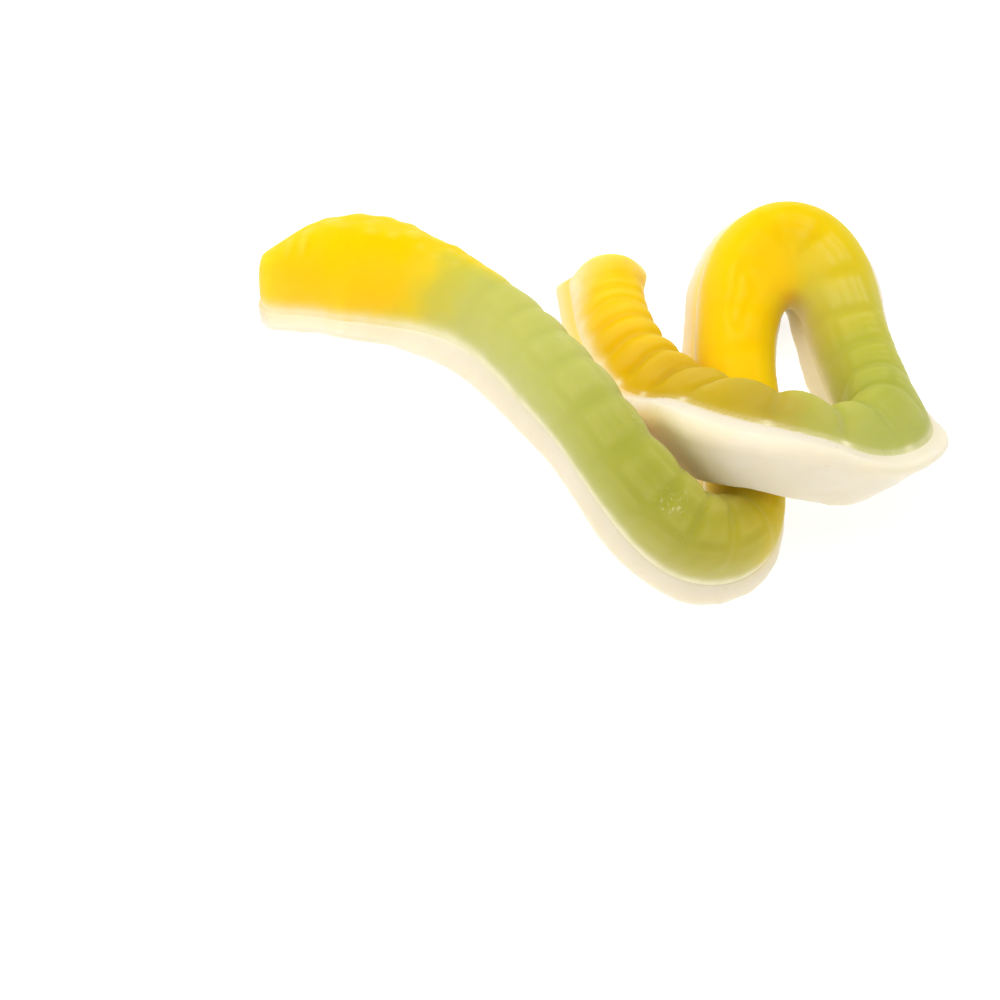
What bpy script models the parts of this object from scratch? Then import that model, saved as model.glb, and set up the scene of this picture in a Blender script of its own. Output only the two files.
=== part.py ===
# Jelly snake sweet with a foam belly, lying in the loose loop it was dropped in.
# One strip of moulded jelly runs from the nose to the tail on top of one strip of white foam.
# Lengths are in millimetres in the functions and turned into metres where a mesh is made.

import math

import bmesh
import bpy
import numpy as np

MM = 0.001

# Body section: a dome of jelly on a slab of foam whose sides flare out to the flat base.
BASE_DEPTH = 5.8
SIDE_FLARE = 1.05
BASE_EDGE_RADIUS = 0.9
LAYER_GAP = 0.3

# Half width of the base, height of the back over the middle line and height of the foam,
# measured along the body from the nose.
WIDTH_PROFILE = [(0, 4.0), (1.5, 4.9), (5, 6.8), (10, 9.6), (14, 10.4), (19, 9.4), (25, 7.4), (32, 6.3), (40, 6.1)]
BACK_PROFILE = [(0, 2.2), (4, 4.1), (9, 5.9), (13, 6.5), (18, 6.6), (25, 6.0), (32, 5.5), (40, 5.4), (50, 5.6)]
FOAM_PROFILE = [
    (0, 2.3), (12, 2.2), (22, 2.6), (34, 4.0), (44, 4.4), (66, 4.5), (78, 4.0), (90, 4.2), (110, 4.3),
    (140, 4.3), (154, 3.4), (164, 2.6), (174, 2.9), (182, 3.9), (190, 4.0), (198, 2.7), (206, 2.7), (226, 2.8),
]

# Where the strip is bent back on itself it is pressed wider.
BEND_PLACE = 129.0
BEND_REACH = 10.0
BEND_WIDENING = 0.12

# Where it hangs over its own body its belly sags lower.
CROSSING_PLACE = 188.0
CROSSING_REACH = 7.0
CROSSING_SAG = 0.7

# The last stretch narrows a little to a blunt tail.
TAPER_LENGTH = 34.0
TAIL_NARROWING = 0.17
NOSE_ROUNDING = 1.6
TAIL_ROUNDING = 2.0
JELLY_SETBACK = 0.7

# Rings of the mould: pillows along the body with a plate on the back of each.
FIRST_RING = 28.6
RING_PITCHES = [
    (28, 5.55), (70, 5.55), (100, 6.2), (140, 5.9), (160, 5.8), (172, 7.6), (190, 8.2), (200, 5.2),
    (208, 3.8), (214, 2.6), (226, 2.2),
]
RING_DEPTH = 0.5
PLATE_HEIGHT = 0.3
PLATE_HALF_ANGLE = 22.0
HEAD_BUMP_HEIGHT = 0.3
HEAD_BUMP_SPACING = 4.2

# Where the strip lies: points in the middle of its height, and how far its back leans
# to the right of the way from nose to tail, in degrees.
ROUTE = [
    (-43.5, 14.5, 10.0, -38),
    (-38.0, 15.5, 10.0, -38),
    (-31.5, 16.0, 10.3, -38),
    (-25.0, 14.0, 11.0, -36),
    (-18.0, 10.0, 12.5, -29),
    (-11.5, 4.0, 15.0, -17),
    (-6.0, -4.0, 18.2, -6),
    (-1.0, -11.7, 20.2, 0),
    (3.2, -17.9, 18.8, 0),
    (7.5, -21.5, 14.0, 2),
    (12.5, -23.0, 9.8, 4),
    (17.5, -19.5, 6.5, 10),
    (18.5, -11.0, 5.8, 6),
    (18.5, -3.0, 5.8, 0),
    (17.8, 3.5, 5.8, 5),
    (18.2, 10.5, 6.2, 8),
    (20.0, 18.0, 6.8, 11),
    (25.0, 21.8, 7.0, 14),
    (30.0, 18.0, 6.5, 8),
    (32.0, 11.0, 5.8, 0),
    (33.8, 4.0, 6.0, -2),
    (35.5, -2.5, 8.0, 10),
    (35.8, -7.5, 11.0, 36),
    (33.0, -12.0, 14.0, 72),
    (28.0, -13.0, 16.5, 86),
    (22.0, -12.9, 18.9, 89),
    (17.0, -11.4, 18.8, 87),
    (12.5, -7.2, 14.5, 81),
    (7.9, -1.5, 10.2, 62),
    (3.6, 6.5, 8.0, 34),
    (2.2, 13.0, 6.4, 20),
    (1.5, 19.5, 5.6, 16),
]
LINE_STEP = 0.3
RELAX_PASSES = 40
SQUEEZE_LIMIT = 0.9

DOME_STEPS = 14
UNDERSIDE_STEPS = 4
HEAD_STATION_STEP = 1.6
FOAM_STATION_STEP = 2.2
PILLOW_STATIONS = (0.0, 0.16, 0.5, 0.84)
TAIL_PILLOW_STATIONS = (0.0, 0.5)
END_STATIONS = (0.0, 0.05, 0.18, 0.4, 0.7)

JELLY_COLOUR = (0.93, 0.62, 0.01, 1.0)
FOAM_COLOUR = (0.93, 0.88, 0.76, 1.0)


def smooth_step(value, start, end):
    """Rise from 0 at start to 1 at end with level ends."""
    t = np.clip((value - start) / (end - start), 0.0, 1.0)
    return t * t * (3.0 - 2.0 * t)


def cubic_spline(knots, values, at):
    """Natural cubic spline through values at the knots, read at the given places."""
    knots = np.asarray(knots, float)
    values = np.asarray(values, float)
    count = len(knots)
    gap = np.diff(knots)
    matrix = np.eye(count)
    right = np.zeros_like(values)
    slope = np.diff(values, axis=0) / (gap[:, None] if values.ndim > 1 else gap)
    for i in range(1, count - 1):
        matrix[i, i - 1:i + 2] = gap[i - 1], 2.0 * (gap[i - 1] + gap[i]), gap[i]
        right[i] = 6.0 * (slope[i] - slope[i - 1])
    bend = np.linalg.solve(matrix, right)
    k = np.clip(np.searchsorted(knots, at) - 1, 0, count - 2)
    after = (at - knots[k]) / gap[k]
    width = gap[k]
    if values.ndim > 1:
        after = after[:, None]
        width = width[:, None]
    before = 1.0 - after
    cubic = (before ** 3 - before) * bend[k] + (after ** 3 - after) * bend[k + 1]
    return before * values[k] + after * values[k + 1] + cubic * width ** 2 / 6.0


def profile(table, s):
    """Read a profile table at s, holding its last value beyond its end."""
    table = np.array(table, float)
    return cubic_spline(table[:, 0], table[:, 1], np.clip(s, table[0, 0], table[-1, 0]))


def rounded_end(distance, reach):
    """Factor that closes a section in a round end over the given reach."""
    t = np.clip(1.0 - distance / reach, 0.0, 1.0)
    return (1.0 - t ** 2.6) ** 0.45


class CentreLine:
    """The line through the middle of the strip, with the directions of its back and its side."""

    def __init__(self):
        route = np.array(ROUTE, float)
        chord = np.concatenate([[0.0], np.cumsum(np.linalg.norm(np.diff(route[:, :3], axis=0), axis=1))])
        fine = cubic_spline(chord, route, np.linspace(0.0, chord[-1], 3000))
        travelled = np.concatenate([[0.0], np.cumsum(np.linalg.norm(np.diff(fine[:, :3], axis=0), axis=1))])
        even = np.linspace(0.0, travelled[-1], int(travelled[-1] / LINE_STEP))
        line = np.stack([np.interp(even, travelled, fine[:, axis]) for axis in range(4)], axis=1)
        for _ in range(RELAX_PASSES):
            line[1:-1] = (line[:-2] + 2.0 * line[1:-1] + line[2:]) / 4.0
        self.point = line[:, :3]
        self.s = np.concatenate([[0.0], np.cumsum(np.linalg.norm(np.diff(self.point, axis=0), axis=1))])
        self.length = self.s[-1]
        self.along = np.gradient(self.point, self.s, axis=0)
        self.along /= np.linalg.norm(self.along, axis=1)[:, None]
        up = np.array([0.0, 0.0, 1.0])
        upright = up - self.along * (self.along @ up)[:, None]
        upright /= np.linalg.norm(upright, axis=1)[:, None]
        right = np.cross(self.along, upright)
        lean = np.radians(line[:, 3])[:, None]
        self.back = upright * np.cos(lean) + right * np.sin(lean)
        self.side = np.cross(self.along, self.back)
        curvature = np.gradient(self.along, self.s, axis=0)
        self.bend = np.stack([(curvature * self.side).sum(axis=1), (curvature * self.back).sum(axis=1)], axis=1)
        for _ in range(RELAX_PASSES // 2):
            self.bend[1:-1] = (self.bend[:-2] + 2.0 * self.bend[1:-1] + self.bend[2:]) / 4.0

    def read(self, values, s):
        """Interpolate one of the line's vectors at s."""
        return np.array([np.interp(s, self.s, values[:, axis]) for axis in range(values.shape[1])])

    def place(self, s, outline):
        """Carry a section outline of (side, back) pairs to where it lies, in millimetres."""
        point = self.read(self.point, s)
        side = self.read(self.side, s)
        back = self.read(self.back, s)
        bend = self.read(self.bend, s)
        tightness = bend @ bend
        placed = []
        for offset in outline:
            offset = np.array(offset)
            inward = offset @ bend
            if inward > 0.0:
                limited = inward / (1.0 + (inward / SQUEEZE_LIMIT) ** 8) ** 0.125
                offset = offset + bend * (limited - inward) / tightness
            corner = point + side * offset[0] + back * offset[1]
            corner[2] = max(corner[2], 0.0)
            placed.append(corner)
        return placed


class Snake:
    """Sizes of the strip along its length."""

    def __init__(self):
        self.line = CentreLine()
        self.length = self.line.length
        self.rings = self.ring_places()

    def taper(self, s):
        return smooth_step(s, self.length - TAPER_LENGTH, self.length - 4.0)

    def half_width(self, s):
        bulge = 1.0 + BEND_WIDENING * math.exp(-((s - BEND_PLACE) / BEND_REACH) ** 2)
        return profile(WIDTH_PROFILE, s) * bulge * (1.0 - TAIL_NARROWING * self.taper(s))

    def base(self, s):
        sag = CROSSING_SAG * math.exp(-((s - CROSSING_PLACE) / CROSSING_REACH) ** 2)
        return -BASE_DEPTH * (1.0 - 0.15 * self.taper(s)) - sag

    def seam(self, s):
        """Height of the line where jelly meets foam."""
        return self.base(s) + profile(FOAM_PROFILE, s)

    def dome_height(self, s):
        return profile(BACK_PROFILE, s) * (1.0 - 0.22 * self.taper(s)) - self.seam(s)

    def closing(self, s, setback):
        """Factor that rounds off the nose and the tail, a little later on the jelly."""
        return rounded_end(s - setback, NOSE_ROUNDING) * rounded_end(self.length - setback - s, TAIL_ROUNDING)

    def ring_places(self):
        """Grooves between the pillows, closer together towards the tail."""
        measured, pitches = zip(*RING_PITCHES)
        places = [FIRST_RING]
        while places[-1] < self.length - 4.0:
            places.append(places[-1] + float(np.interp(places[-1], measured, pitches)))
        return places

    def relief(self, s, angle):
        """Height of the moulded pattern on the dome; the angle runs from one seam to the other."""
        middle = abs(math.degrees(angle) - 90.0)
        if s < self.rings[0]:
            fade = smooth_step(s, 3.0, 8.0) * (1.0 - smooth_step(s, 26.0, 31.0))
            crown = 1.0 - smooth_step(middle, 40.0, 62.0)
            across = (angle - math.pi / 2.0) * 9.0 * 2.0 * math.pi / HEAD_BUMP_SPACING
            bump = math.cos(s * 2.0 * math.pi / HEAD_BUMP_SPACING) * math.cos(across)
            return HEAD_BUMP_HEIGHT * bump * fade * crown
        k = min(np.searchsorted(self.rings, s, side="right"), len(self.rings) - 1)
        within = (s - self.rings[k - 1]) / (self.rings[k] - self.rings[k - 1])
        within = min(max(within, 0.0), 1.0)
        pillow = math.sqrt(math.sin(math.pi * within))
        groove = RING_DEPTH * (1.0 - pillow) * (0.3 + 0.7 * math.sin(angle))
        plate = smooth_step(within, 0.1, 0.3) * (1.0 - smooth_step(within, 0.7, 0.9))
        plate *= 1.0 - smooth_step(middle, PLATE_HALF_ANGLE - 5.0, PLATE_HALF_ANGLE + 5.0)
        plate *= 1.0 - smooth_step(s, self.length - 30.0, self.length - 18.0)
        return PLATE_HEIGHT * plate - groove

    def jelly_outline(self, s):
        """Dome from seam to seam, then the flat underside back to the start."""
        closing = self.closing(s, JELLY_SETBACK)
        half = (self.half_width(s) - SIDE_FLARE) * closing
        rise = self.dome_height(s) * closing
        foot = self.seam(s) + LAYER_GAP / 2.0
        outline = []
        for k in range(DOME_STEPS + 1):
            angle = math.pi * k / DOME_STEPS
            across = math.copysign(abs(math.cos(angle)) ** 0.85, math.cos(angle))
            height = math.sin(angle) ** 0.9 if 0 < k < DOME_STEPS else 0.0
            raised = self.relief(s, angle) * closing
            outline.append((across * (half + raised * abs(math.cos(angle))), foot + height * (rise + raised)))
        for k in range(1, UNDERSIDE_STEPS):
            outline.append((half * (2.0 * k / UNDERSIDE_STEPS - 1.0), foot))
        return outline

    def foam_outline(self, s):
        """Slab with flared sides, a flat top under the jelly and a rounded edge at the base."""
        closing = self.closing(s, 0.0)
        half = self.half_width(s) * closing
        top_half = max(half - SIDE_FLARE, half * 0.4)
        radius = min(BASE_EDGE_RADIUS, half * 0.3)
        top = self.seam(s) - LAYER_GAP / 2.0
        base = self.base(s)
        outline = [(top_half * (1.0 - 2.0 * k / UNDERSIDE_STEPS), top) for k in range(UNDERSIDE_STEPS + 1)]
        outline += [(-(half - 0.06 * radius), base + radius), (-(half - 0.35 * radius), base + 0.3 * radius)]
        outline += [(-(half - radius), base), (0.0, base), (half - radius, base)]
        outline += [(half - 0.35 * radius, base + 0.3 * radius), (half - 0.06 * radius, base + radius)]
        return outline

    def end_stations(self, setback, reach, from_tail):
        places = [setback + reach * part for part in END_STATIONS]
        if from_tail:
            return [self.length - place for place in reversed(places)]
        return places

    def jelly_stations(self):
        nose = self.end_stations(JELLY_SETBACK, NOSE_ROUNDING, False)
        tail = self.end_stations(JELLY_SETBACK, TAIL_ROUNDING, True)
        start = JELLY_SETBACK + NOSE_ROUNDING
        steps = int((self.rings[0] - start) / HEAD_STATION_STEP)
        middle = list(np.linspace(start, self.rings[0], steps, endpoint=False))
        for ring, after in zip(self.rings, self.rings[1:]):
            pitch = after - ring
            parts = PILLOW_STATIONS if pitch > 3.5 else TAIL_PILLOW_STATIONS
            middle += [ring + pitch * part for part in parts]
        return nose + [s for s in middle if s < tail[0] - 0.5] + tail

    def foam_stations(self):
        nose = self.end_stations(0.0, NOSE_ROUNDING, False)
        tail = self.end_stations(0.0, TAIL_ROUNDING, True)
        steps = int((tail[0] - NOSE_ROUNDING) / FOAM_STATION_STEP)
        return nose + list(np.linspace(NOSE_ROUNDING, tail[0], steps, endpoint=False)) + tail


def make_material(name, colour, roughness):
    material = bpy.data.materials.new(name)
    material.use_nodes = True
    shader = material.node_tree.nodes["Principled BSDF"]
    shader.inputs["Base Color"].default_value = colour
    shader.inputs["Roughness"].default_value = roughness
    shader.inputs["Metallic"].default_value = 0.0
    return material


def loft(name, line, stations, outline_at, material):
    """Join the outlines at the stations into one closed body."""
    mesh = bpy.data.meshes.new(name)
    body = bmesh.new()
    rows = []
    for s in stations:
        placed = line.place(s, outline_at(s))
        rows.append([body.verts.new(corner * MM) for corner in placed])
    for row, following in zip(rows, rows[1:]):
        for k in range(len(row)):
            after = (k + 1) % len(row)
            body.faces.new((row[k], row[after], following[after], following[k]))
    body.faces.new(list(reversed(rows[0])))
    body.faces.new(rows[-1])
    bmesh.ops.recalc_face_normals(body, faces=body.faces)
    bmesh.ops.triangulate(body, faces=body.faces, quad_method="SHORT_EDGE")
    body.to_mesh(mesh)
    body.free()
    mesh.shade_smooth()
    mesh.set_sharp_from_angle(angle=math.radians(45.0))
    mesh.materials.append(material)
    piece = bpy.data.objects.new(name, mesh)
    bpy.context.scene.collection.objects.link(piece)
    return piece


def clear_scene():
    for item in list(bpy.data.objects):
        bpy.data.objects.remove(item, do_unlink=True)


def build():
    clear_scene()
    snake = Snake()
    jelly = make_material("jelly", JELLY_COLOUR, 0.35)
    foam = make_material("foam", FOAM_COLOUR, 0.6)
    loft("jelly_body", snake.line, snake.jelly_stations(), snake.jelly_outline, jelly)
    loft("foam_belly", snake.line, snake.foam_stations(), snake.foam_outline, foam)


build()
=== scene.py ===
import math

import bpy
import numpy as np
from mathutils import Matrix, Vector, noise
from mathutils.kdtree import KDTree


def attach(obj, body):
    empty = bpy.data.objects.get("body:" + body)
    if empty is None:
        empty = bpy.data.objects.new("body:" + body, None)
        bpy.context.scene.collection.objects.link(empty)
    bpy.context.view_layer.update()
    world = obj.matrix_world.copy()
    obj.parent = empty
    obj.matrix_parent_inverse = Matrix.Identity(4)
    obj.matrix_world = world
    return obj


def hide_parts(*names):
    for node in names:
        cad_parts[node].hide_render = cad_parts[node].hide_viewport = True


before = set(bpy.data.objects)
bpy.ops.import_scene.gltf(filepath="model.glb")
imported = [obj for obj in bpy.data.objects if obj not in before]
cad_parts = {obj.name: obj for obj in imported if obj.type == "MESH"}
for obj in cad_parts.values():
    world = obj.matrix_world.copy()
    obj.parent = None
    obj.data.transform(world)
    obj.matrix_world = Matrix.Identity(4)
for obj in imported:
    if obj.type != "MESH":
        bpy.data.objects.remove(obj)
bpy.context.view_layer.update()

mm = 0.001

# How the sweet lies, as the solids have it: x, y and height of the middle of the strip in mm,
# and how far its back leans to the right of the way from nose to tail, in degrees.
lay = {
    "route": [
        (-43.5, 14.5, 10.0, -38), (-38.0, 15.5, 10.0, -38), (-31.5, 16.0, 10.3, -38),
        (-25.0, 14.0, 11.0, -36), (-18.0, 10.0, 12.5, -29), (-11.5, 4.0, 15.0, -17),
        (-6.0, -4.0, 18.2, -6), (-1.0, -11.7, 20.2, 0), (3.2, -17.9, 18.8, 0),
        (7.5, -21.5, 14.0, 2), (12.5, -23.0, 9.8, 4), (17.5, -19.5, 6.5, 10),
        (18.5, -11.0, 5.8, 6), (18.5, -3.0, 5.8, 0), (17.8, 3.5, 5.8, 5),
        (18.2, 10.5, 6.2, 8), (20.0, 18.0, 6.8, 11), (25.0, 21.8, 7.0, 14),
        (30.0, 18.0, 6.5, 8), (32.0, 11.0, 5.8, 0), (33.8, 4.0, 6.0, -2),
        (35.5, -2.5, 8.0, 10), (35.8, -7.5, 11.0, 36), (33.0, -12.0, 14.0, 72),
        (28.0, -13.0, 16.5, 86), (22.0, -12.9, 18.9, 89), (17.0, -11.4, 18.8, 87),
        (12.5, -7.2, 14.5, 81), (7.9, -1.5, 10.2, 62), (3.6, 6.5, 8.0, 34),
        (2.2, 13.0, 6.4, 20), (1.5, 19.5, 5.6, 16),
    ],
    "finePoints": 3000,
    "lineStep": 0.3,
    "relaxPasses": 40,
    "squeezeLimit": 0.985,
}

# The section and how it changes, in mm. Each "Along" table gives mm from the nose and then the value.
strip = {
    "widthAlong": [
        (0, 4.0), (1.5, 4.9), (5, 6.8), (10, 9.6), (14, 10.4), (19, 9.4), (25, 7.4), (32, 6.3), (40, 6.1),
    ],
    "backAlong": [
        (0, 2.2), (4, 4.1), (9, 5.9), (13, 6.5), (18, 6.6), (25, 6.0), (32, 5.5), (40, 5.4), (50, 5.6),
    ],
    "foamAlong": [
        (0, 2.3), (12, 2.2), (22, 2.6), (34, 4.0), (44, 4.4), (66, 4.5), (78, 4.0), (90, 4.2), (110, 4.3),
        (140, 4.3), (154, 3.4), (164, 2.6), (174, 2.9), (182, 3.9), (190, 4.1), (198, 3.2), (206, 2.8),
        (226, 2.8),
    ],
    "baseDepth": 5.8,
    "sagPlace": 193.0, "sagReach": 9.0, "sag": 0.95,
    "sideFlare": 1.05,
    "edgeRadiusAlong": [(0, 0.9), (168, 0.9), (180, 1.8), (200, 2.3), (212, 1.1), (226, 0.9)],
    "bendPlace": 129.0, "bendReach": 10.0, "bendWidening": 0.12,
    "taperLength": 34.0, "taperEnd": 4.0,
    "tailNarrowing": 0.08, "tailBaseRise": 0.15, "tailBackFall": 0.22,  # shares of the full size
    "noseRounding": 1.6, "tailRounding": 2.0,
    "seamLap": 0.03,  # how far jelly and foam lap over each other, so that no crack shows
}


def smoothStep(value, start, end):
    t = np.clip((value - start) / (end - start), 0.0, 1.0)
    return t * t * (3.0 - 2.0 * t)


def within(value, span):
    # Rises from 0 to 1 over the first two numbers of the span and falls again over the last two.
    start, full, release, end = span
    return smoothStep(value, start, full) * (1.0 - smoothStep(value, release, end))


def bell(distance, reach):
    return np.exp(-(distance / reach) ** 2)


def naturalSpline(knots, values, at):
    knots, values = np.asarray(knots, float), np.asarray(values, float)
    gap = np.diff(knots)
    column = (slice(None),) + (None,) * (values.ndim - 1)
    slope = np.diff(values, axis=0) / gap[column]
    matrix, right = np.eye(len(knots)), np.zeros_like(values)
    for i in range(1, len(knots) - 1):
        matrix[i, i - 1:i + 2] = gap[i - 1], 2.0 * (gap[i - 1] + gap[i]), gap[i]
        right[i] = 6.0 * (slope[i] - slope[i - 1])
    bend = np.linalg.solve(matrix, right)
    k = np.clip(np.searchsorted(knots, at) - 1, 0, len(knots) - 2)
    after, width = ((at - knots[k]) / gap[k])[column], gap[k][column]
    before = 1.0 - after
    cubic = (before ** 3 - before) * bend[k] + (after ** 3 - after) * bend[k + 1]
    return before * values[k] + after * values[k + 1] + cubic * width ** 2 / 6.0


def readProfile(table, s):
    # A smooth curve through the rows of a table.
    table = np.array(table, float)
    return naturalSpline(table[:, 0], table[:, 1], np.clip(s, table[0, 0], table[-1, 0]))


def readColumns(table, s):
    # Each column of a table, in straight steps between its rows.
    table = np.array(table, float)
    return [np.interp(s, table[:, 0], table[:, column]) for column in range(1, table.shape[1])]


def travelledAlong(points):
    return np.concatenate([[0.0], np.cumsum(np.linalg.norm(np.diff(points, axis=0), axis=1))])


def centreLine():
    route = np.array(lay["route"], float)
    chord = travelledAlong(route[:, :3])
    fine = naturalSpline(chord, route, np.linspace(0.0, chord[-1], lay["finePoints"]))
    travelled = travelledAlong(fine[:, :3])
    even = np.linspace(0.0, travelled[-1], int(travelled[-1] / lay["lineStep"]))
    line = np.stack([np.interp(even, travelled, fine[:, axis]) for axis in range(4)], axis=1)
    for _ in range(lay["relaxPasses"]):  # the tight bends ease, as soft jelly does
        line[1:-1] = (line[:-2] + 2.0 * line[1:-1] + line[2:]) / 4.0
    point = line[:, :3]
    s = travelledAlong(point)
    along = np.gradient(point, s, axis=0)
    along /= np.linalg.norm(along, axis=1)[:, None]
    upright = np.array([0.0, 0.0, 1.0]) - along * along[:, 2:]
    upright /= np.linalg.norm(upright, axis=1)[:, None]
    lean = np.radians(line[:, 3])[:, None]
    back = upright * np.cos(lean) + np.cross(along, upright) * np.sin(lean)
    side = np.cross(along, back)
    curvature = np.gradient(along, s, axis=0)
    bend = np.stack([(curvature * side).sum(axis=1), (curvature * back).sum(axis=1)], axis=1)
    for _ in range(lay["relaxPasses"] // 2):
        bend[1:-1] = (bend[:-2] + 2.0 * bend[1:-1] + bend[2:]) / 4.0
    return {"s": s, "point": point, "side": side, "back": back, "bend": bend, "length": s[-1]}


line = centreLine()
length = line["length"]
print("strip is %.1f mm from nose to tail" % length)


def placeRows(s, across, height):
    # Carries rows of section points to where the strip lies. Points on the inside of a tight
    # bend are pressed together and never cross.
    read = {}
    for key in ("point", "side", "back", "bend"):
        read[key] = np.stack([np.interp(s, line["s"], column) for column in line[key].T], axis=1)
    bend = read["bend"]
    inward = np.maximum(across * bend[:, :1] + height * bend[:, 1:], 0.0)
    limited = inward / (1.0 + (inward / lay["squeezeLimit"]) ** 8) ** 0.125
    shift = (limited - inward) / ((bend ** 2).sum(axis=1)[:, None] + 1e-9)
    across, height = across + bend[:, :1] * shift, height + bend[:, 1:] * shift
    points = read["point"][:, None, :] + read["side"][:, None, :] * across[..., None]
    points = points + read["back"][:, None, :] * height[..., None]
    points[..., 2] = np.maximum(points[..., 2], 0.0)  # it sits flat where it meets the table
    return points


def taper(s):
    return smoothStep(s, length - strip["taperLength"], length - strip["taperEnd"])


def halfWidth(s):
    bulge = 1.0 + strip["bendWidening"] * bell(s - strip["bendPlace"], strip["bendReach"])
    return readProfile(strip["widthAlong"], s) * bulge * (1.0 - strip["tailNarrowing"] * taper(s))


def baseDepth(s):
    sag = strip["sag"] * bell(s - strip["sagPlace"], strip["sagReach"])
    return -strip["baseDepth"] * (1.0 - strip["tailBaseRise"] * taper(s)) - sag


def seamHeight(s):
    return baseDepth(s) + readProfile(strip["foamAlong"], s)


def domeHeight(s):
    return readProfile(strip["backAlong"], s) * (1.0 - strip["tailBackFall"] * taper(s)) - seamHeight(s)


def roundedEnd(distance, reach):
    t = np.clip(1.0 - distance / reach, 0.0, 1.0)
    return (1.0 - t ** 2.6) ** 0.45


def closing(s, setback):
    nose = roundedEnd(s - setback, strip["noseRounding"])
    return nose * roundedEnd(length - setback - s, strip["tailRounding"])


def stationsAlong(step, setback):
    # Close together where the nose and the tail round over, then even.
    ease = np.array([0.004, 0.02, 0.05, 0.1, 0.17, 0.26, 0.37, 0.5, 0.65, 0.82])
    nose = setback + strip["noseRounding"] * ease
    tail = length - setback - strip["tailRounding"] * ease[::-1]
    start, end = setback + strip["noseRounding"], length - setback - strip["tailRounding"]
    return np.concatenate([nose, np.linspace(start, end, int((end - start) / step)), tail])


def lumps(points, size, seed):
    # Smooth unevenness between -1 and 1, with lumps of the given size in mm.
    offset = Vector((seed * 7.3, seed * 3.1, seed * 5.7))
    flat = points.reshape(-1, 3) / size
    values = [noise.noise(Vector(p) + offset) for p in flat]
    return np.array(values).reshape(points.shape[:-1])


# The pattern that the mould leaves on the jelly, in mm. Angles run in degrees from one seam over
# the back, at 90, to the other.
mould = {
    "firstRing": 28.6,
    "pitchAlong": [  # mm from the nose, distance to the next ring
        (28, 5.55), (70, 5.55), (100, 6.2), (140, 5.9), (160, 5.8), (172, 7.6),
        (190, 8.2), (200, 5.2), (208, 3.8), (214, 2.6), (226, 2.2),
    ],
    "patternAlong": [  # mm from the nose, groove depth, its share low on the sides, plate height, rib height
        (27, 0.0, 0.1, 0.0, 0.0), (31, 0.14, 0.1, 0.04, 0.01), (45, 0.2, 0.12, 0.06, 0.012),
        (60, 0.26, 0.15, 0.1, 0.015), (72, 0.27, 0.25, 0.14, 0.02), (82, 0.2, 0.35, 0.1, 0.02),
        (92, 0.12, 0.1, 0.05, 0.0), (118, 0.08, 0.1, 0.02, 0.0), (129, 0.1, 0.1, 0.06, 0.02),
        (136, 0.14, 0.1, 0.1, 0.035), (148, 0.14, 0.15, 0.1, 0.03), (158, 0.3, 0.4, 0.08, 0.02),
        (167, 0.65, 0.7, 0.05, 0.01), (176, 1.25, 0.72, 0.03, 0.0), (204, 1.1, 0.7, 0.0, 0.0),
        (212, 0.55, 0.6, 0.0, 0.0), (220, 0.22, 0.6, 0.0, 0.0), (226, 0.0, 0.6, 0.0, 0.0),
    ],
    "ringWaver": 0.45,
    "pillowRoundness": 0.62,
    "plateSpan": (0.08, 0.24, 0.74, 0.92),  # shares of the way from one ring to the next
    "plateHalfAngle": 23.0, "plateWaver": 3.0, "ribPitch": 1.15, "ribDegrees": (34.0, 46.0),
    "farRingDepth": 0.5, "farRingsAlong": (27.0, 38.0, 84.0, 92.0), "farRingDegrees": (100.0, 150.0),
    "farSwell": 0.85, "farSwellAlong": (60.0, 69.0, 78.0, 88.0), "farSwellDegrees": (92.0, 125.0),
    "headBumpHeight": 0.27, "headBumpSpacing": 2.9,
    "headBumpsAlong": (6.0, 9.0, 24.0, 32.0), "headBumpDegrees": (68.0, 84.0, 116.0, 136.0),
    "headRidges": [  # mm from the nose, height, middle and reach in degrees
        (5.0, 0.3, 76.0, 13.0), (6.9, 0.34, 72.0, 13.0), (11.5, 0.16, 84.0, 11.0), (22.0, 0.12, 92.0, 12.0),
    ],
    "wrinkleHeight": 0.07, "wrinklePitch": 1.5,
    "wrinklesAlong": (141.0, 146.0, 157.0, 163.0), "wrinkleDegrees": (84.0, 108.0),
    "beadHeight": 0.8, "beadPlace": 222.6, "beadReach": 1.2, "beadMiddle": 36.0, "beadWidth": 14.0,
    "loopDepth": 0.2, "loopPlace": 115.8, "loopOff": 0.8, "loopLength": 4.3, "loopWidth": 1.05,
    "unevenness": 0.14, "unevennessSize": 6.5,
}


def ringPlaces():
    places = [mould["firstRing"]]
    while places[-1] < length - 2.0:
        places.append(places[-1] + readColumns(mould["pitchAlong"], places[-1])[0])
    return np.array(places)


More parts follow.
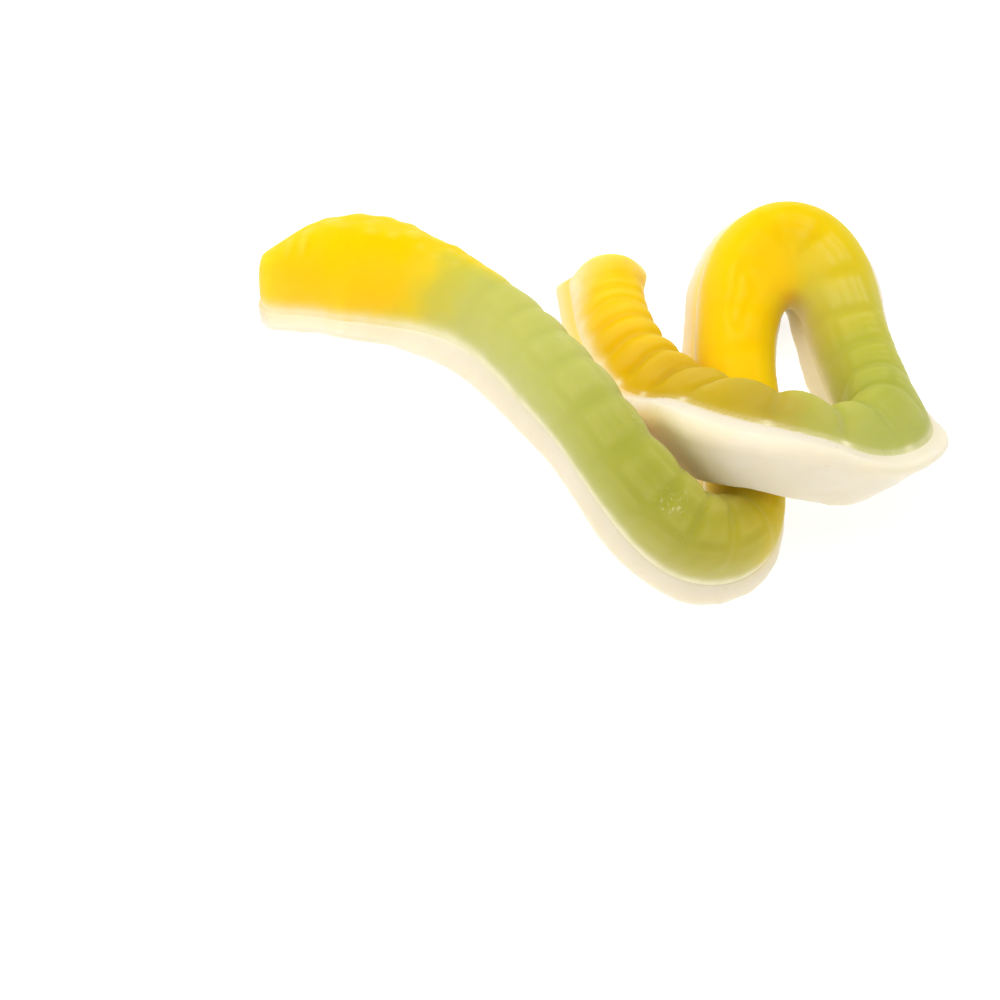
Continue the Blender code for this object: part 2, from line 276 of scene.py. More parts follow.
def mouldedRelief(s, degrees, arc, wobble):
    # s in mm from the nose, arc in mm from the middle of the back.
    rings = ringPlaces()
    shifted = s + mould["ringWaver"] * wobble
    k = np.clip(np.searchsorted(rings, shifted, side="right"), 1, len(rings) - 1)
    share = np.clip((shifted - rings[k - 1]) / (rings[k] - rings[k - 1]), 0.0, 1.0)
    depth, low, plateHeight, ribHeight = readColumns(mould["patternAlong"], s)
    valley = 1.0 - np.sin(math.pi * share) ** mould["pillowRoundness"]
    onSides = low + (1.0 - low) * np.sin(np.radians(degrees)) ** 1.5
    grooves = depth * (1.0 + 0.25 * np.sin(k * 2.3)) * valley * onSides
    farSide = smoothStep(degrees, *mould["farRingDegrees"]) * within(s, mould["farRingsAlong"])
    grooves = grooves + mould["farRingDepth"] * valley * farSide
    # Between two rings lies a plate with fine ribs, then a slot and a lip on each side of it.
    middle = np.abs(degrees - 90.0) + mould["plateWaver"] * wobble
    half = mould["plateHalfAngle"]
    plate = within(share, mould["plateSpan"])
    ribs = ribHeight * np.cos(2.0 * math.pi * arc / mould["ribPitch"] + k)
    ribs = ribs * (1.0 - smoothStep(middle, *mould["ribDegrees"]))
    shape = 1.0 - smoothStep(middle, half - 5.0, half + 5.0)
    slot = 0.45 * bell(middle - half - 8.0, 4.0)
    lip = 0.35 * bell(middle - half - 17.0, 4.5)
    relief = plate * (plateHeight * (shape - slot + lip) * (1.0 + 0.3 * np.sin(k * 3.9)) + ribs) - grooves
    # The front of the body swells a little on its far side, where it comes round to the fold.
    swell = within(s, mould["farSwellAlong"]) * smoothStep(degrees, *mould["farSwellDegrees"])
    relief = relief + mould["farSwell"] * swell
    fromRing = np.minimum(shifted - rings[k - 1], rings[k] - shifted)
    return relief, plate * shape, fromRing


def headRelief(s, degrees, arc):
    # Rounded scales on the crown of the head in offset rows, each a little out of place, and short ridges.
    spacing = mould["headBumpSpacing"]
    row = np.round(s / (spacing * 0.87))
    offset = (row % 2) * 0.5 * spacing
    column = np.round((arc - offset) / spacing)
    dx = s - row * spacing * 0.87 - 0.2 * spacing * np.sin(row * 5.1 + column * 2.7)
    dy = arc - offset - column * spacing - 0.2 * spacing * np.cos(row * 3.7 + column * 4.3)
    size = 1.0 + 0.3 * np.sin(row * 1.7 + column * 2.9)
    bump = np.exp(-((dx ** 2 + dy ** 2) / (0.3 * spacing * size) ** 2) ** 1.2) * size
    where = within(s, mould["headBumpsAlong"]) * within(degrees, mould["headBumpDegrees"])
    relief = mould["headBumpHeight"] * (bump - 0.25) * where
    for place, lift, middle, reach in mould["headRidges"]:
        ridge = bell(s - place - 0.04 * (degrees - middle), 0.4) * bell(degrees - middle, reach)
        relief = relief + lift * ridge
    return relief


def smallMarks(s, degrees, arc):
    # Fine wrinkles on the outside of the right leg, a bead of jelly at the tail, and a shallow loop
    # pressed into the left leg.
    where = within(s, mould["wrinklesAlong"]) * smoothStep(degrees, *mould["wrinkleDegrees"])
    slanted = s + 0.03 * (degrees - 110.0) + 0.3 * np.sin(arc * 1.9)
    relief = mould["wrinkleHeight"] * np.sin(2.0 * math.pi * slanted / mould["wrinklePitch"]) * where
    bead = bell(s - mould["beadPlace"], mould["beadReach"])
    bead = bead * bell(degrees - mould["beadMiddle"], mould["beadWidth"])
    relief = relief + mould["beadHeight"] * bead
    alongLoop = (s - mould["loopPlace"]) / mould["loopLength"]
    acrossLoop = (arc - mould["loopOff"] - 0.3 * np.sin(s * 0.9)) / mould["loopWidth"]
    fromLoop = np.sqrt(alongLoop ** 2 + acrossLoop ** 2)
    return relief - mould["loopDepth"] * bell(fromLoop - 1.0, 0.16)


def outwardNormals(points):
    alongStrip = np.gradient(points, axis=0)
    aroundStrip = np.roll(points, -1, axis=1) - np.roll(points, 1, axis=1)
    normals = np.cross(aroundStrip, alongStrip)
    size = np.linalg.norm(normals, axis=2)[..., None]
    return normals / np.maximum(size, 1e-9)


def softBlur(values, passes):
    for _ in range(passes):
        values[1:-1] = (values[:-2] + 2.0 * values[1:-1] + values[2:]) / 4.0
        values[:, 1:-1] = (values[:, :-2] + 2.0 * values[:, 1:-1] + values[:, 2:]) / 4.0
    return values


def gridPiece(name, points, attributes, material):
    # A closed body from rows of points around the strip, with a number on each point for the material.
    rows, columns = points.shape[:2]
    index = np.arange(rows * columns).reshape(rows, columns)
    following = np.roll(index, -1, axis=1)
    quads = np.stack([index[:-1], following[:-1], following[1:], index[1:]], axis=-1).reshape(-1, 4)
    faces = quads.tolist() + [index[0, ::-1].tolist(), index[-1].tolist()]
    mesh = bpy.data.meshes.new(name)
    mesh.from_pydata((points.reshape(-1, 3) * mm).tolist(), [], faces)
    mesh.validate()
    return meshPiece(name, mesh, attributes, material)


def meshPiece(name, mesh, attributes, material):
    for key, values in attributes.items():
        layer = mesh.attributes.new(key, "FLOAT", "POINT")
        layer.data.foreach_set("value", np.ascontiguousarray(values, dtype=np.float32).ravel())
    mesh.shade_smooth()
    mesh.materials.clear()
    mesh.materials.append(material)
    piece = bpy.data.objects.new(name, mesh)
    bpy.context.scene.collection.objects.link(piece)
    return piece


def hexColour(code):
    channels = [int(code[k:k + 2], 16) / 255.0 for k in (1, 3, 5)]
    return tuple(c / 12.92 if c <= 0.04045 else ((c + 0.055) / 1.055) ** 2.4 for c in channels) + (1.0,)


def addNode(tree, kind, settings=None, links=None):
    node = tree.nodes.new(kind)
    for key, value in (settings or {}).items():
        if isinstance(key, int) or key in node.inputs:
            node.inputs[key].default_value = value
        else:
            setattr(node, key, value)
    for key, socket in (links or {}).items():
        tree.links.new(socket, node.inputs[key])
    return node


def newMaterial(name):
    material = bpy.data.materials.new(name)
    material.use_nodes = True
    tree = material.node_tree
    tree.nodes.clear()
    return material, tree


def readNumber(tree, name):
    return addNode(tree, "ShaderNodeAttribute", {"attribute_name": name}).outputs["Fac"]


def addRamp(tree, table, socket):
    # Colours by distance from the nose in mm.
    share = addNode(tree, "ShaderNodeMath", {"operation": "DIVIDE", 1: length}, {0: socket})
    ramp = addNode(tree, "ShaderNodeValToRGB", None, {"Fac": share.outputs[0]})
    stops = ramp.color_ramp.elements
    for k, (position, code) in enumerate(table):
        stop = stops[k] if k < 2 else stops.new(1.0)
        stop.position = min(position / length, 1.0)
        stop.color = hexColour(code)
    return ramp.outputs["Color"]


def mixColours(tree, share, first, second):
    mix = addNode(tree, "ShaderNodeMix", {"data_type": "RGBA"})
    for index, value in ((0, share), (6, first), (7, second)):
        if isinstance(value, bpy.types.NodeSocket):
            tree.links.new(value, mix.inputs[index])
        else:
            mix.inputs[index].default_value = value
    return mix.outputs[2]


# Fruit jelly of gelatine and glucose, cast in a starch mould and lightly oiled: clear enough for
# the light to spread a few mm inside it, with a soft gloss that the mould left slightly frosted.
jellyLook = {
    "flavours": [  # mm from the nose and colour
        (0, "#F4CC2A"), (4, "#F2C40C"), (10, "#F2C400"), (21, "#F0C600"), (24.5, "#E2C726"),
        (28, "#CBBF42"), (33, "#BBBA5A"), (46, "#B5B75E"), (53, "#B0B256"), (60, "#A8AA46"),
        (67, "#A6A63A"), (75, "#AAA234"), (81, "#B0A42E"), (87, "#CCB118"), (93, "#E9BF04"),
        (102, "#F3C700"), (122, "#F0C600"), (129, "#E6C200"), (136, "#D8BE0E"), (142, "#C8B936"),
        (150, "#B3B13E"), (160, "#A2A63C"), (172, "#A6AA46"), (179, "#ADAA42"), (182.5, "#AE9A32"),
        (189, "#BC9E1E"), (198, "#C7A00E"), (207, "#DDB300"), (214, "#EBC000"), (220, "#F0C600"),
        (226, "#F2CE48"),
    ],
    "seamAndPaintedLightTint": "#F3EAC4",
    "highlightTint": "#FFF3C0",
    "scuffTint": "#F7F4CC",
    "scatterDepth": 3.2, "scatterColour": (1.0, 0.75, 0.2),
    "roughness": 0.38, "smoothest": -0.06, "roughest": 0.12,
    "ior": 1.4, "gloss": 0.03,
}


def jellyMaterial():
    material, tree = newMaterial("castGelatineJelly")
    place = {"Vector": addNode(tree, "ShaderNodeTexCoord").outputs["Object"]}
    colour = addRamp(tree, jellyLook["flavours"], readNumber(tree, "flavour"))
    # The pale tint is foam showing through the thin jelly near the seam, and painted light in the arch's
    # crease and on the inner side of the right leg.
    colour = mixColours(tree, readNumber(tree, "pale"), colour, hexColour(jellyLook["seamAndPaintedLightTint"]))
    # Painted highlights on raised places, plates and rings.
    colour = mixColours(tree, readNumber(tree, "paintedHighlight"), colour, hexColour(jellyLook["highlightTint"]))
    # Scuffs are crazed patches of scratches about 0.7 mm apart.
    crazing = addNode(tree, "ShaderNodeTexNoise", {
        "Scale": 1500.0, "Detail": 4.0, "Roughness": 0.75, "Distortion": 1.2,
    }, place)
    cracks = addNode(tree, "ShaderNodeMapRange", {
        "From Min": 0.56, "From Max": 0.68, "To Min": 0.0, "To Max": 0.6,
    }, {"Value": crazing.outputs["Fac"]})
    scratched = addNode(tree, "ShaderNodeMath", {"operation": "MULTIPLY"}, {
        0: readNumber(tree, "scuff"), 1: cracks.outputs[0],
    })
    colour = mixColours(tree, scratched.outputs[0], colour, hexColour(jellyLook["scuffTint"]))
    # Skin with a grain of about 1 mm and finer frosting in it.
    grain = addNode(tree, "ShaderNodeTexNoise", {"Scale": 900.0, "Detail": 3.0, "Roughness": 0.6}, place)
    rough = addNode(tree, "ShaderNodeMapRange", {
        "From Min": 0.3, "From Max": 0.7,
        "To Min": jellyLook["roughness"] + jellyLook["smoothest"],
        "To Max": jellyLook["roughness"] + jellyLook["roughest"],
    }, {"Value": grain.outputs["Fac"]})
    skin = addNode(tree, "ShaderNodeBump", {"Strength": 0.35, "Distance": 0.06 * mm}, {
        "Height": grain.outputs["Fac"],
    })
    shader = addNode(tree, "ShaderNodeBsdfPrincipled", {
        "Subsurface Radius": jellyLook["scatterColour"],
        "Subsurface Scale": jellyLook["scatterDepth"] * mm,
        "IOR": jellyLook["ior"],
        "Specular IOR Level": jellyLook["gloss"],
    }, {
        "Base Color": colour,
        "Roughness": rough.outputs[0],
        "Normal": skin.outputs[0],
        "Subsurface Weight": readNumber(tree, "thickness"),
    })
    addNode(tree, "ShaderNodeOutputMaterial", None, {"Surface": shader.outputs[0]})
    return material


# Whipped gelatine foam, poured behind the jelly: matte, warm white, with fine air bubbles open at the
# surface.
# Yellow light that comes through the jelly is painted onto its edge.
foamLook = {
    "body": "#ECE2CF",
    "patch": "#E5D9BB",
    "pitShade": "#D9C79C",
    # Painted light: tints of the light that comes through the jelly, painted onto the foam by mm from the
    # nose.
    "jellyLightTints": [  # mm from the nose and colour
        (0, "#F7DC7E"), (22, "#F5E09A"), (30, "#E9E4AE"), (80, "#E6DC9C"), (90, "#FBDA62"),
        (122, "#F9DC74"), (134, "#FBEBAA"), (150, "#F3EEC4"), (178, "#E9E4AE"), (186, "#EAD484"),
        (204, "#F8CE5C"), (226, "#FAD468"),
    ],
    "scatterDepth": 3.0, "scatterColour": (1.0, 0.9, 0.65),
    "roughness": 0.62,
    "ior": 1.4, "gloss": 0.2,
}


def foamMaterial():
    material, tree = newMaterial("whippedGelatineFoam")
    place = {"Vector": addNode(tree, "ShaderNodeTexCoord").outputs["Object"]}
    patchy = addNode(tree, "ShaderNodeTexNoise", {"Scale": 160.0, "Detail": 3.0}, place)
    body, patch = hexColour(foamLook["body"]), hexColour(foamLook["patch"])
    colour = mixColours(tree, patchy.outputs["Fac"], body, patch)
    # Painted light from the jelly: a yellow tint on the foam near the seam and on its shaded lower half.
    jellyLightTints = addRamp(tree, foamLook["jellyLightTints"], readNumber(tree, "flavour"))
    colour = mixColours(tree, readNumber(tree, "paintedJellyLight"), colour, jellyLightTints)
    # Bubbles of about 0.7 mm, drawn as coarse as they need to show, and scattered larger ones whose pits get
    # painted shade.
    bubbles = addNode(tree, "ShaderNodeTexVoronoi", {"Scale": 1500.0}, place)
    matte = addNode(tree, "ShaderNodeTexNoise", {"Scale": 1100.0, "Detail": 4.0}, place)
    height = addNode(tree, "ShaderNodeMath", {"operation": "MULTIPLY_ADD", 1: 0.6}, {
        0: bubbles.outputs["Distance"], 2: matte.outputs["Fac"],
    })
    spots = addNode(tree, "ShaderNodeTexVoronoi", {"Scale": 420.0}, place)
    paintedPitShade = addNode(tree, "ShaderNodeMapRange", {
        "From Min": 0.04, "From Max": 0.12, "To Min": 0.45, "To Max": 0.0,
    }, {"Value": spots.outputs["Distance"]})
    # Painted shade inside the larger open bubbles.
    colour = mixColours(tree, paintedPitShade.outputs[0], colour, hexColour(foamLook["pitShade"]))
    skin = addNode(tree, "ShaderNodeBump", {"Strength": 0.4, "Distance": 0.1 * mm}, {
        "Height": height.outputs[0],
    })
    shader = addNode(tree, "ShaderNodeBsdfPrincipled", {
        "Subsurface Radius": foamLook["scatterColour"],
        "Subsurface Scale": foamLook["scatterDepth"] * mm,
        "Roughness": foamLook["roughness"],
        "IOR": foamLook["ior"],
        "Specular IOR Level": foamLook["gloss"],
    }, {
        "Base Color": colour,
        "Normal": skin.outputs[0],
        "Subsurface Weight": readNumber(tree, "thickness"),
    })
    addNode(tree, "ShaderNodeOutputMaterial", None, {"Surface": shader.outputs[0]})
    return material


# The jelly's mesh in mm, and how far the foam shows through it from the nose to the tail.
jellyMesh = {
    "step": 0.3, "aroundDome": 76, "aroundBase": 12, "setback": 0.35, "sunk": 0.65,
    "domeWidthPower": 0.85, "domeHeightPower": 0.9,
    "voxel": 0.333, "evenPasses": 5, "creasePasses": 150,
    "creaseAlong": (113.0, 121.0, 137.0, 145.0), "creaseSpread": 0.8,
    "paleShare": 0.9, "paleAlong": [  # how many mm from the seam the jelly is pale
        (0, 0.7), (30, 0.7), (84, 0.75), (95, 1.1), (130, 1.1), (158, 0.6), (168, 0.25), (203, 0.14),
        (210, 0.7), (217, 1.4), (222, 3.4), (226, 6.5),
    ],
    # Painted light: the inner side of the right leg and the crease inside the arch are drawn paler where
    # they lie in shade.
    "innerLegLightAlong": (131.0, 139.0, 150.0, 162.0), "innerLegPaintedLight": 0.8, "creasePaintedLight": 0.1,
    "veilReach": 5.0, "veilAlong": [
        (0, 0.03), (24, 0.04), (32, 0.12), (50, 0.16), (80, 0.2), (90, 0.04), (130, 0.02), (142, 0.12),
        (176, 0.08), (186, 0.0), (226, 0.0),
    ],
    # Painted highlights on the plates and along the rings, by mm from the nose.
    "plateHighlight": [
        (0, 0.0), (44, 0.0), (54, 0.015), (80, 0.02), (92, 0.0), (129, 0.0), (133, 0.06), (142, 0.07),
        (147, 0.01), (226, 0.0),
    ],
    "ringHighlight": [
        (0, 0.0), (60, 0.0), (76, 0.03), (86, 0.08), (92, 0.0), (146, 0.0), (152, 0.05), (176, 0.11),
        (184, 0.05), (212, 0.06), (226, 0.0),
    ],
    "scuffs": [  # mm from the nose, mm off the middle of the back, reach in mm, strength
        (68.5, -0.6, 1.7, 1.0), (74.0, 2.2, 1.2, 0.5), (60.0, 3.4, 1.5, 0.55), (55.0, 3.0, 1.2, 0.4),
        (47.0, 2.0, 1.4, 0.35), (82.0, 3.6, 1.4, 0.5), (38.0, 4.5, 1.0, 0.4), (72.5, -2.2, 1.1, 0.35),
        (136.5, 0.6, 1.1, 0.35), (26.0, 2.5, 1.6, 0.3),
    ],
}


def flavourAt(s, degrees, points):
    # The two colours were poured one after the other and ran into each other over a few mm.
    flavour = s + 1.6 * lumps(points, 3.5, 3) + 0.5 * lumps(points, 1.3, 5)
    yellowTongue = 7.0 * smoothStep(degrees, 84.0, 112.0) * bell(s - 29.0, 7.0)
    return flavour - yellowTongue


def oneSkin(points, size):
    # Where the strip is pressed against itself it becomes one body with one skin round it.
    blank = gridPiece("jellyBlank", points, {}, None)
    skin = blank.modifiers.new("oneSkin", "REMESH")
    skin.mode = "VOXEL"
    skin.voxel_size = size * mm
    mesh = bpy.data.meshes.new_from_object(blank.evaluated_get(bpy.context.evaluated_depsgraph_get()))
    bpy.data.objects.remove(blank, do_unlink=True)
    return mesh


def readMesh(mesh):
    places = np.empty(len(mesh.vertices) * 3)
    mesh.vertices.foreach_get("co", places)
    ends = np.empty(len(mesh.edges) * 2, dtype=np.int64)
    mesh.edges.foreach_get("vertices", ends)
    return places.reshape(-1, 3) / mm, ends.reshape(-1, 2)


def neighbourMean(values, ends):
    first, second = ends.T
    count = np.bincount(ends.ravel(), minlength=len(values))
    total = []
    for column in values.T:
        fromSecond = np.bincount(first, column[second], len(values))
        total.append(fromSecond + np.bincount(second, column[first], len(values)))
    return np.stack(total, axis=1) / np.maximum(count, 1)[:, None]


def nearestBlend(known, places):
    # For each place the four nearest known points and how much each of them counts.
    tree = KDTree(len(known))
    for index, point in enumerate(known):
        tree.insert(point, index)
    tree.balance()
    found = [tree.find_n(place, 4) for place in places]
    index = np.array([[item[1] for item in four] for four in found])
    weight = 1.0 / (np.array([[item[2] for item in four] for four in found]) ** 2 + 0.003)
    return index, weight / weight.sum(axis=1)[:, None]


def jellyGrid():
    # Points on the dome and under it, with the numbers that the relief and the material need.
    s = stationsAlong(jellyMesh["step"], jellyMesh["setback"])
    rows, count = s[:, None], jellyMesh["aroundDome"]
    shut = closing(rows, jellyMesh["setback"])
    half = (halfWidth(rows) - strip["sideFlare"]) * shut + strip["seamLap"]
    rise = domeHeight(rows) * shut
    foot = seamHeight(rows)
    angle = np.linspace(0.0, math.pi, count + 1)[None, :]
    cosine, sine = np.cos(angle), np.clip(np.sin(angle), 0.0, 1.0)
    # Pressed square on the inside of the tightest bend, where the jelly meets itself.
    pressed = within(rows, jellyMesh["creaseAlong"]) * smoothStep(cosine, -0.1, 0.6)
    outline = np.sign(cosine) * np.abs(cosine) ** (jellyMesh["domeWidthPower"] - 0.35 * pressed)
    across = half * outline + jellyMesh["creaseSpread"] * pressed
    height = foot + rise * sine ** (jellyMesh["domeHeightPower"] - 0.72 * pressed)
    sunk = jellyMesh["sunk"] * shut
    height = np.where((angle <= 0.0) | (angle >= math.pi), foot - sunk, height)
    under = np.linspace(-0.985, 0.985, jellyMesh["aroundBase"] + 1)[None, :]
    allAcross = np.concatenate([across, half * under], axis=1)
    allHeight = np.concatenate([height, foot - sunk + 0.0 * under], axis=1)
    points = placeRows(s, allAcross, allHeight)
    dome = points[:, :count + 1]
    allS, allAngle = rows + 0.0 * angle, angle + 0.0 * rows
    degrees = np.degrees(allAngle)
    girth = (half + rise) / 2.0
    arc = (allAngle - math.pi / 2.0) * girth
    relief, plates, fromRing = mouldedRelief(allS, degrees, arc, lumps(dome, 4.0, 1))
    relief = relief + headRelief(allS, degrees, arc) + smallMarks(allS, degrees, arc)
    relief = softBlur(relief, 2) + mould["unevenness"] * lumps(dome, mould["unevennessSize"], 2)
    relief = relief * smoothStep(sine, 0.0, 0.3) * np.clip(shut, 0.0, 1.0) * (1.0 - 0.85 * pressed)
    # The foam shows through close to the seam, and a little more at each ring.
    tables = ("paleAlong", "veilAlong", "plateHighlight", "ringHighlight")
    paleReach, veil, plateHighlight, ringHighlight = [readColumns(jellyMesh[key], allS)[0] for key in tables]
    fromSeam = np.minimum(allAngle, math.pi - allAngle) * girth
    fromSeam = np.maximum(fromSeam, (height - foot) * pressed)
    lifted = fromSeam - 0.2 * bell(fromRing, 0.6) * smoothStep(allS, 160.0, 172.0)
    # Painted light: the inner side of the right leg is drawn pale further from the seam, where it lies in
    # shade.
    innerLegLight = smoothStep(cosine, 0.0, 0.5) * within(allS, jellyMesh["innerLegLightAlong"])
    paleReach = paleReach * (1.0 + jellyMesh["innerLegPaintedLight"] * innerLegLight)
    pale = jellyMesh["paleShare"] * np.exp(-(np.maximum(lifted, 0.0) / paleReach) ** 1.5)
    pale = pale + veil * bell(fromSeam, jellyMesh["veilReach"])
    # Painted light in the crease of the arch, where it lies in shade.
    pale = pale + jellyMesh["creasePaintedLight"] * pressed * (1.0 - smoothStep(height - foot, 2.0, 8.0))
    pale = np.clip(pale * (1.0 + 0.25 * lumps(dome, 1.6, 6)), 0.0, 0.95)
    # Raised places, ribs and rings get painted highlights: thin whitish lines and patches where light would
    # catch them.
    paintedHighlight = 0.05 * np.clip((relief - softBlur(relief.copy(), 10)) / 0.05, 0.0, 1.0)
    paintedHighlight = paintedHighlight + plateHighlight * plates * (1.0 + 0.5 * np.cos(2.0 * math.pi * arc / mould["ribPitch"]))
    paintedHighlight = paintedHighlight + ringHighlight * bell(fromRing, 0.3) * smoothStep(sine, 0.1, 0.5)
    scuff = sum(strength * np.exp(-((allS - place) ** 2 + (arc - off) ** 2) / reach ** 2)
                for place, off, reach, strength in jellyMesh["scuffs"])
    zeros = np.zeros((len(s), jellyMesh["aroundBase"] + 1))
    numbers = {  # on the dome and under it
        "flavour": (flavourAt(allS, degrees, dome), rows + zeros),
        "pale": (pale, 0.9 + zeros),
        "paintedHighlight": (paintedHighlight, zeros),
        "scuff": (np.clip(scuff, 0.0, 1.0), zeros),
        "thickness": (smoothStep(fromSeam, 0.1, 2.0) * shut, zeros),
        "relief": (relief, zeros),
        "pressed": (pressed, zeros),
    }
    numbers = {key: np.concatenate(pair, axis=1).ravel() for key, pair in numbers.items()}
    return points, numbers


def buildJelly():
    points, numbers = jellyGrid()
    mesh = oneSkin(points, jellyMesh["voxel"])
    places, ends = readMesh(mesh)
    index, weight = nearestBlend(points.reshape(-1, 3), places)
    numbers = {key: (values[index] * weight).sum(axis=1) for key, values in numbers.items()}
    for _ in range(jellyMesh["evenPasses"]):  # the steps of the skin are evened out without shrinking it
        places = places + 0.5 * (neighbourMean(places, ends) - places)
        places = places - 0.52 * (neighbourMean(places, ends) - places)
    # The crease inside the arch is drawn smooth, and so are the colours across it.
    crease = smoothStep(numbers.pop("pressed"), 0.05, 0.5)[:, None]
    for _ in range(jellyMesh["creasePasses"]):
        places = places + 0.5 * crease * (neighbourMean(places, ends) - places)
    blended = ("flavour", "pale", "paintedHighlight", "thickness")
    columns = np.stack([numbers[key] for key in blended], axis=1)
    for _ in range(jellyMesh["creasePasses"] // 2):
        columns = columns + 0.5 * crease * (neighbourMean(columns, ends) - columns)
    numbers.update(zip(blended, columns.T))
    mesh.vertices.foreach_set("co", (places * mm).ravel())
    mesh.update()
    normals = np.empty(places.size)
    mesh.vertices.foreach_get("normal", normals)
    places = places + normals.reshape(-1, 3) * numbers.pop("relief")[:, None]
    places[:, 2] = np.maximum(places[:, 2], 0.0)
    mesh.vertices.foreach_set("co", (places * mm).ravel())
    piece = meshPiece("jellySnake", mesh, numbers, jellyMaterial())
    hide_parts("jelly_body")
    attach(piece, "root")
    print("jelly has %d faces" % len(mesh.polygons))


foamMesh = {
    "step": 0.35, "top": 10, "base": 16, "side": 7, "turn": 5,
    "edgeLumps": 0.22,
    # Painted light from the jelly along the foam's top edge.
    "jellyLightAlong": [  # mm from the nose, strength, reach in mm
        (0, 0.35, 0.9), (25, 0.3, 0.9), (80, 0.25, 0.8), (90, 0.9, 1.8), (125, 0.95, 1.8), (140, 0.6, 1.5),
        (160, 0.3, 0.8), (182, 0.12, 0.5), (197, 0.2, 0.9), (206, 0.9, 1.6), (226, 0.95, 1.8),
    ],
    "shadedAlong": (184.0, 194.0, 203.0, 210.0), "shadedJellyLight": 0.55,
    "scatterShare": 0.8,
}


def buildFoam():
    s = stationsAlong(foamMesh["step"], 0.0)
    rows = s[:, None]
    shut = closing(rows, 0.0)
    half = halfWidth(rows) * shut
    topHalf = np.maximum(half - strip["sideFlare"], half * 0.4)
    radius = np.minimum(readColumns(strip["edgeRadiusAlong"], rows)[0], half * 0.35)
    top, base = seamHeight(rows) - strip["seamLap"], baseDepth(rows)
    # Down one flared side and round the base edge.
    straight = np.linspace(0.0, 1.0, foamMesh["side"])[None, :-1]
    sideAcross = topHalf + (half - topHalf) * straight
    sideHeight = top + (base + radius - top) * straight
    turn = np.linspace(0.0, math.pi / 2.0, foamMesh["turn"])[None, :]
    sideAcross = np.concatenate([sideAcross, half - radius + radius * np.sin(math.pi / 2.0 - turn)], axis=1)
    sideHeight = np.concatenate([sideHeight, base + radius - radius * np.sin(turn)], axis=1)
    topRow = np.linspace(1.0, -1.0, foamMesh["top"] + 1)[None, 1:-1]
    baseRow = np.linspace(-1.0, 1.0, foamMesh["base"] + 1)[None, 1:-1]
    across = np.concatenate([
        sideAcross[:, :1], topHalf * topRow, -sideAcross, (half - radius) * baseRow, sideAcross[:, :0:-1],
    ], axis=1)
    height = np.concatenate([
        sideHeight[:, :1], top + 0.0 * topRow, sideHeight, base + 0.0 * baseRow, sideHeight[:, :0:-1],
    ], axis=1)
    points = placeRows(s, across, height)
    normals = outwardNormals(points)
    depth = top - height
    below = np.clip(depth / 1.5, 0.0, 1.0)
    relief = foamMesh["edgeLumps"] * (lumps(points, 5.0, 4) + 0.5 * lumps(points, 1.8, 7))
    relief = relief * below * np.clip(shut, 0.0, 1.0)
    points += normals * relief[..., None]
    points[..., 2] = np.maximum(points[..., 2], 0.0)
    # Painted light: a yellow tint where light through the jelly falls on the foam near the seam.
    strength, reach = readColumns(foamMesh["jellyLightAlong"], rows)
    paintedJellyLight = strength * bell(depth, reach)
    # Where it lies over itself its lower half is in shade, and painted yellow light from the jelly beside it
    # tints it.
    shaded = within(rows, foamMesh["shadedAlong"])
    paintedJellyLight = paintedJellyLight + foamMesh["shadedJellyLight"] * shaded * smoothStep(depth, 1.6, 3.4)
    thickness = foamMesh["scatterShare"] * smoothStep(depth, 0.0, 1.4)
    attributes = {"flavour": rows + 0.0 * across, "paintedJellyLight": paintedJellyLight, "thickness": thickness}
    piece = gridPiece("foamBelly", points, attributes, foamMaterial())
    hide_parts("foam_belly")
    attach(piece, "root")
    print("foam has %d points" % (points.shape[0] * points.shape[1]))


buildJelly()
buildFoam()

# A pale table top, lit a little from within so that it stays as bright as the photo's.
table = {"size": 3.0, "colour": "#B4B4B4", "roughness": 0.9, "glowColour": "#FFFFFF", "glow": 0.72}


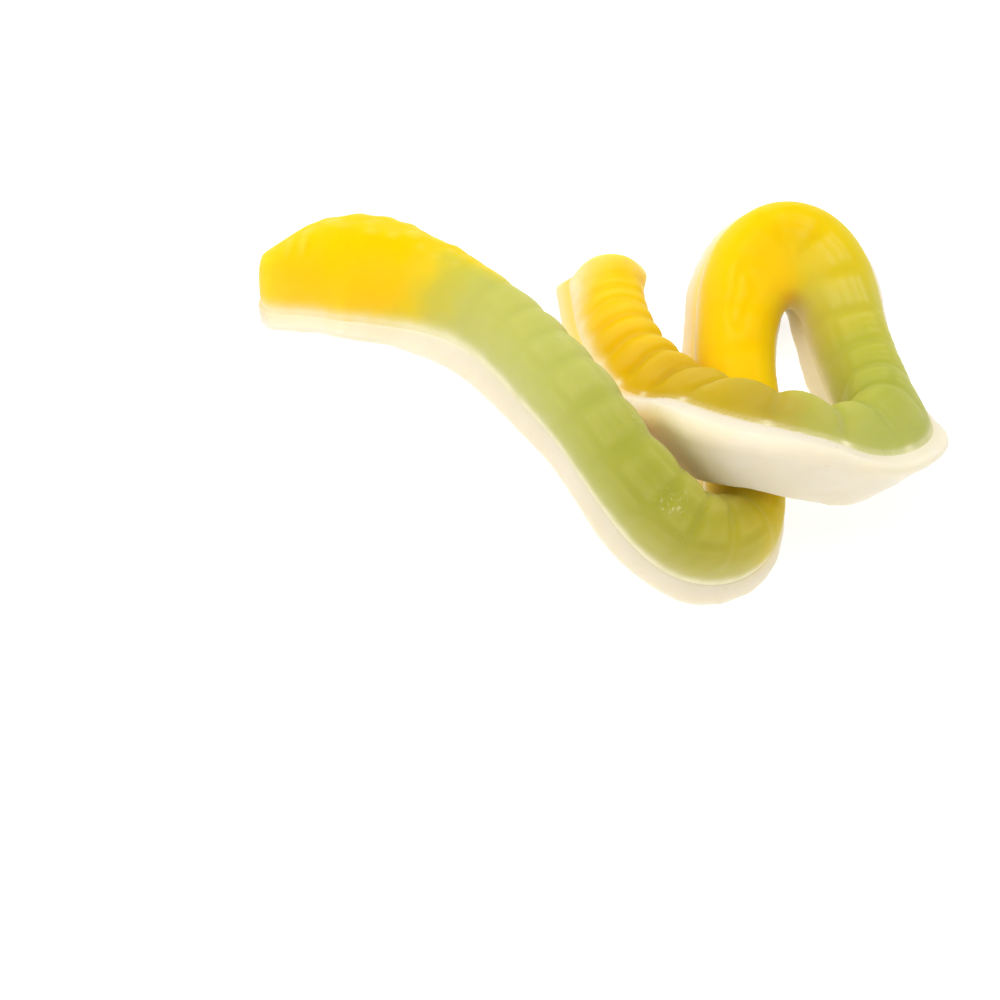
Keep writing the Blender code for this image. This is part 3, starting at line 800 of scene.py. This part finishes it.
def buildTable():
    mesh = bpy.data.meshes.new("tableTop")
    h = table["size"] / 2.0
    mesh.from_pydata([(-h, -h, 0), (h, -h, 0), (h, h, 0), (-h, h, 0)], [], [(0, 1, 2, 3)])
    material, tree = newMaterial("whiteCard")
    shader = addNode(tree, "ShaderNodeBsdfPrincipled", {
        "Base Color": hexColour(table["colour"]),
        "Roughness": table["roughness"],
        "Specular IOR Level": 0.0,
        "Emission Color": hexColour(table["glowColour"]),
        "Emission Strength": table["glow"],
    })
    addNode(tree, "ShaderNodeOutputMaterial", None, {"Surface": shader.outputs[0]})
    mesh.materials.append(material)
    floor = bpy.data.objects.new("tableTop", mesh)
    bpy.context.scene.collection.objects.link(floor)


buildTable()
print("table is in")

lights = {
    "sky": "#FFFFFF", "skyStrength": 0.56,
    "aim": (0.0, 0.0, 0.01),
    "lamps": [  # name, place in m, size in m, watts
        ("topSoftbox", (-0.1, 0.2, 0.9), 0.9, 6.6),
        ("sideSoftbox", (-0.8, -0.1, 0.5), 0.7, 1.2),
        ("frontSoftbox", (0.15, -0.8, 0.25), 0.6, 0.9),
    ],
}


def buildLights():
    world = bpy.data.worlds.new("studio")
    world.use_nodes = True
    sky = world.node_tree.nodes["Background"]
    sky.inputs["Color"].default_value = hexColour(lights["sky"])
    sky.inputs["Strength"].default_value = lights["skyStrength"]
    bpy.context.scene.world = world
    for name, place, size, watts in lights["lamps"]:
        data = bpy.data.lights.new(name, "AREA")
        data.shape = "DISK"
        data.size = size
        data.energy = watts
        lamp = bpy.data.objects.new(name, data)
        lamp.location = place
        towards = Vector(lights["aim"]) - Vector(place)
        lamp.rotation_euler = towards.to_track_quat("-Z", "Y").to_euler()
        bpy.context.scene.collection.objects.link(lamp)


buildLights()
print("lights are in")

# The photo's viewing angle, in degrees, metres and mm of lens.
view = {
    "elevation": 62.0, "distance": 0.45, "lookAt": (-0.0122, -0.0121, 0.0),
    "lens": 128.0, "sensor": 36.0, "nearest": 0.01,
}


def buildCamera():
    data = bpy.data.cameras.new("photoCamera")
    data.lens = view["lens"]
    data.sensor_width = view["sensor"]
    data.clip_start = view["nearest"]
    camera = bpy.data.objects.new("photoCamera", data)
    tilt = math.radians(view["elevation"])
    towardsCamera = Vector((0.0, -math.cos(tilt), math.sin(tilt)))
    camera.location = Vector(view["lookAt"]) + towardsCamera * view["distance"]
    camera.rotation_euler = (math.pi / 2.0 - tilt, 0.0, 0.0)
    bpy.context.scene.collection.objects.link(camera)
    bpy.context.scene.camera = camera
    bpy.context.scene.view_settings.view_transform = "Standard"


buildCamera()
print("camera is in")
